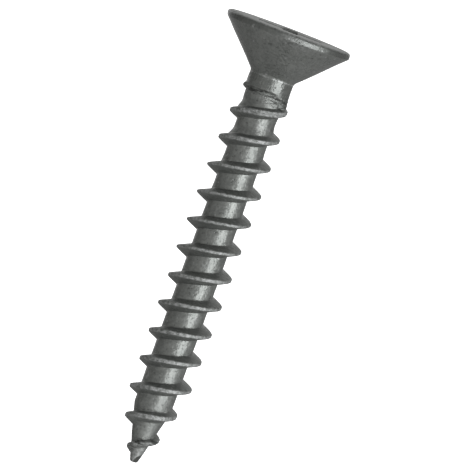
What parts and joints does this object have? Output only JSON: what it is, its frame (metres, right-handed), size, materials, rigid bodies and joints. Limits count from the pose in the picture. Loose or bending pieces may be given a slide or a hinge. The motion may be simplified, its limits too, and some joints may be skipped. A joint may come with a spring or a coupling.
{
  "type": "wood screw",
  "caption": "Countersunk wood screw with a cross recess, a short neck, a coarse right-hand thread over the whole shank and a tapered point.",
  "frame": {"origin": "centre of the flat head face, on the screw's axis", "axes": "+Z along the axis, out of the head face, away from the point; the recess wings lie along X and Y"},
  "size_m": [0.0084, 0.0084, 0.0296],
  "materials": {
    "steel": "dark satin, thin grey coating, crests and rim rubbed bright"
  },
  "bodies": {
    "root": {"wood_screw": "steel"}
  },
  "joints": []
}
